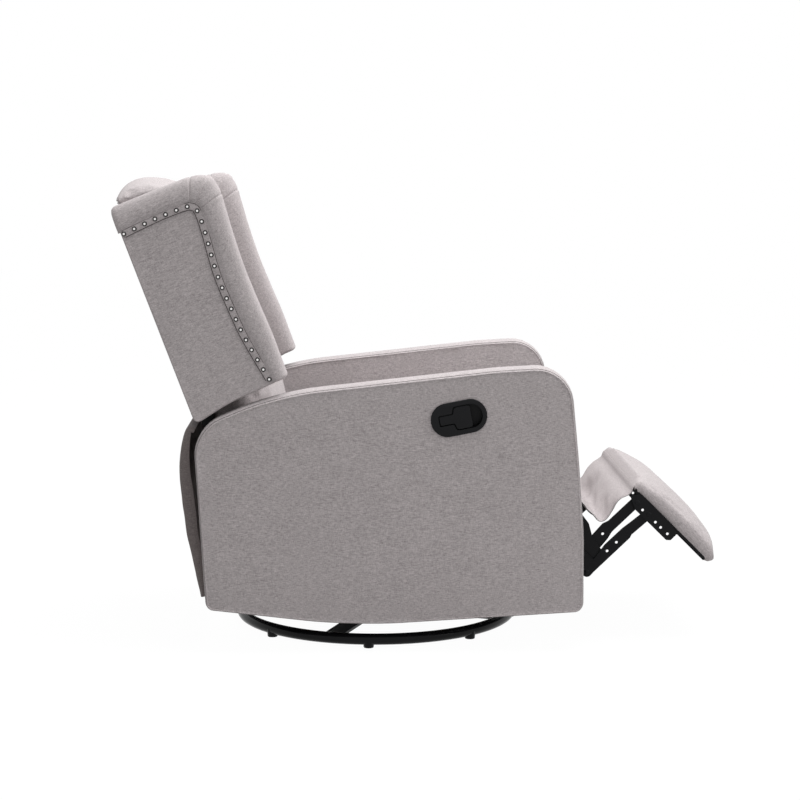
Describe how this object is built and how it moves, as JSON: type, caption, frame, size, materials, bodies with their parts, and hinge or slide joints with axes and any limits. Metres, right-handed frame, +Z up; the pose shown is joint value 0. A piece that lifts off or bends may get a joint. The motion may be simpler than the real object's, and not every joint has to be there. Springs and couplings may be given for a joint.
{
  "type": "swivel rocker recliner",
  "caption": "Wing-back upholstered recliner on a round swivel and rocking base, with a pull handle, a reclining back and a linkage footrest that folds out.",
  "frame": {"origin": "on the floor, under the middle of the object's box in the stored half-reclined pose", "axes": "+X forward towards the footrest, +Y to the sitter's left, +Z up"},
  "size_m": [1.3323, 0.7232, 1.0291],
  "materials": {
    "linen": "warm grey linen-look weave",
    "timber": "bare frame timber",
    "black_steel": "black powder coat",
    "bare_steel": "zinc-plated",
    "nail_metal": "polished nickel heads",
    "black_plastic": "black, lightly textured"
  },
  "bodies": {
    "base": {"floor_ring": "black_steel", "base_cross": "black_steel", "swivel_race_lower": "bare_steel"},
    "turntable": {"swivel_race_upper": "bare_steel", "king_bolt": "bare_steel", "rocker_cradle": "black_steel", "rocker_spring_front_left": "bare_steel", "rocker_spring_front_right": "bare_steel", "rocker_spring_rear_left": "bare_steel", "rocker_spring_rear_right": "bare_steel"},
    "chassis": {"rocker_cam_left": "timber", "rocker_cam_right": "timber", "front_spring_rail": "timber", "rear_spring_rail": "timber", "side_plate_left": "black_steel", "side_plate_right": "black_steel", "tail_rail": "timber", "arm_wrap_left": "linen", "arm_wrap_right": "linen", "arm_outside_left": "linen", "arm_outside_right": "linen", "arm_frame_left": "timber", "arm_frame_right": "timber", "handle_bezel": "black_plastic", "release_cable": "black_plastic", "rear_flap": "linen"},
    "handle": {"handle_paddle": "black_plastic"},
    "backrest": {"back_frame": "timber", "back_panel": "linen", "back_cushion": "linen", "wing_left": "linen", "wing_right": "linen", "nail_trim_left": "nail_metal", "nail_trim_right": "nail_metal", "back_bracket_left": "black_steel", "back_bracket_right": "black_steel"},
    "seat": {"seat_rail_left": "black_steel", "seat_rail_right": "black_steel", "seat_front_rail": "timber", "seat_rear_rail": "timber", "seat_spring_1": "bare_steel", "seat_spring_2": "bare_steel", "seat_spring_3": "bare_steel", "seat_spring_4": "bare_steel", "seat_cushion": "linen", "bridge_cloth": "linen"},
    "main_link": {"footrest_main_link_left": "black_steel", "footrest_main_link_right": "black_steel"},
    "guide_link": {"footrest_guide_link_left": "black_steel", "footrest_guide_link_right": "black_steel"},
    "upper_bar": {"footrest_upper_bar_left": "black_steel", "footrest_upper_bar_right": "black_steel"},
    "lower_bar": {"footrest_lower_bar_left": "black_steel", "footrest_lower_bar_right": "black_steel"},
    "footrest": {"footrest_bracket_left": "black_steel", "footrest_bracket_right": "black_steel", "footrest_board": "timber", "footrest_pad": "linen"}
  },
  "joints": [
    {"name": "swivel", "type": "hinge", "parent": "base", "child": "turntable", "pos_m": [-0.0812, 0, 0.0378], "axis": [0, 0, 1], "continuous": true},
    {"name": "rock", "type": "hinge", "parent": "turntable", "child": "chassis", "pos_m": [-0.0812, 0, 0.1084], "axis": [0, 1, 0], "range_deg": [-7, 7], "stiffness_Nm_per_rad": 600, "deforming": ["rocker_spring_front_left", "rocker_spring_front_right", "rocker_spring_rear_left", "rocker_spring_rear_right"]},
    {"name": "recline", "type": "hinge", "parent": "chassis", "child": "backrest", "pos_m": [-0.3312, 0, 0.4], "axis": [0, -1, 0], "range_deg": [-14, 24], "deforming": ["rear_flap"]},
    {"name": "seat_slide", "type": "slide", "parent": "chassis", "child": "seat", "axis": [1, 0, 0], "range_m": [-0.0098, 0.0168]},
    {"name": "handle_pull", "type": "hinge", "parent": "chassis", "child": "handle", "pos_m": [0.0525, -0.3592, 0.5064], "axis": [0.1908, 0, -0.9816], "range_deg": [0, 25], "stiffness_Nm_per_rad": 0.2, "springref_deg": -8.59},
    {"name": "footrest_raise", "type": "hinge", "parent": "seat", "child": "main_link", "pos_m": [0.2695, 0, 0.3221], "axis": [0, -1, 0], "range_deg": [-51.5, 0], "deforming": ["bridge_cloth"]},
    {"name": "upper_bar_turn", "type": "hinge", "parent": "main_link", "child": "upper_bar", "pos_m": [0.3843, 0, 0.2093], "axis": [0, -1, 0], "range_deg": [0, 84.5]},
    {"name": "lower_bar_turn", "type": "hinge", "parent": "main_link", "child": "lower_bar", "pos_m": [0.41, 0, 0.184], "axis": [0, -1, 0], "range_deg": [0, 83.5]},
    {"name": "footrest_turn", "type": "hinge", "parent": "lower_bar", "child": "footrest", "pos_m": [0.5168, 0, 0.2852], "axis": [0, -1, 0], "range_deg": [-76.4, 0]},
    {"name": "guide_link_turn", "type": "hinge", "parent": "seat", "child": "guide_link", "pos_m": [0.2226, 0, 0.302], "axis": [0, -1, 0], "range_deg": [-43.3, 0]}
  ],
  "couplings": [
    {"joint": "seat_slide", "follows": "recline", "m_per_rad": 0.04},
    {"joint": "upper_bar_turn", "follows": "footrest_raise", "ratio": -1.638},
    {"joint": "lower_bar_turn", "follows": "footrest_raise", "ratio": -1.618},
    {"joint": "footrest_turn", "follows": "footrest_raise", "ratio": 1.48},
    {"joint": "guide_link_turn", "follows": "footrest_raise", "ratio": 0.837}
  ]
}
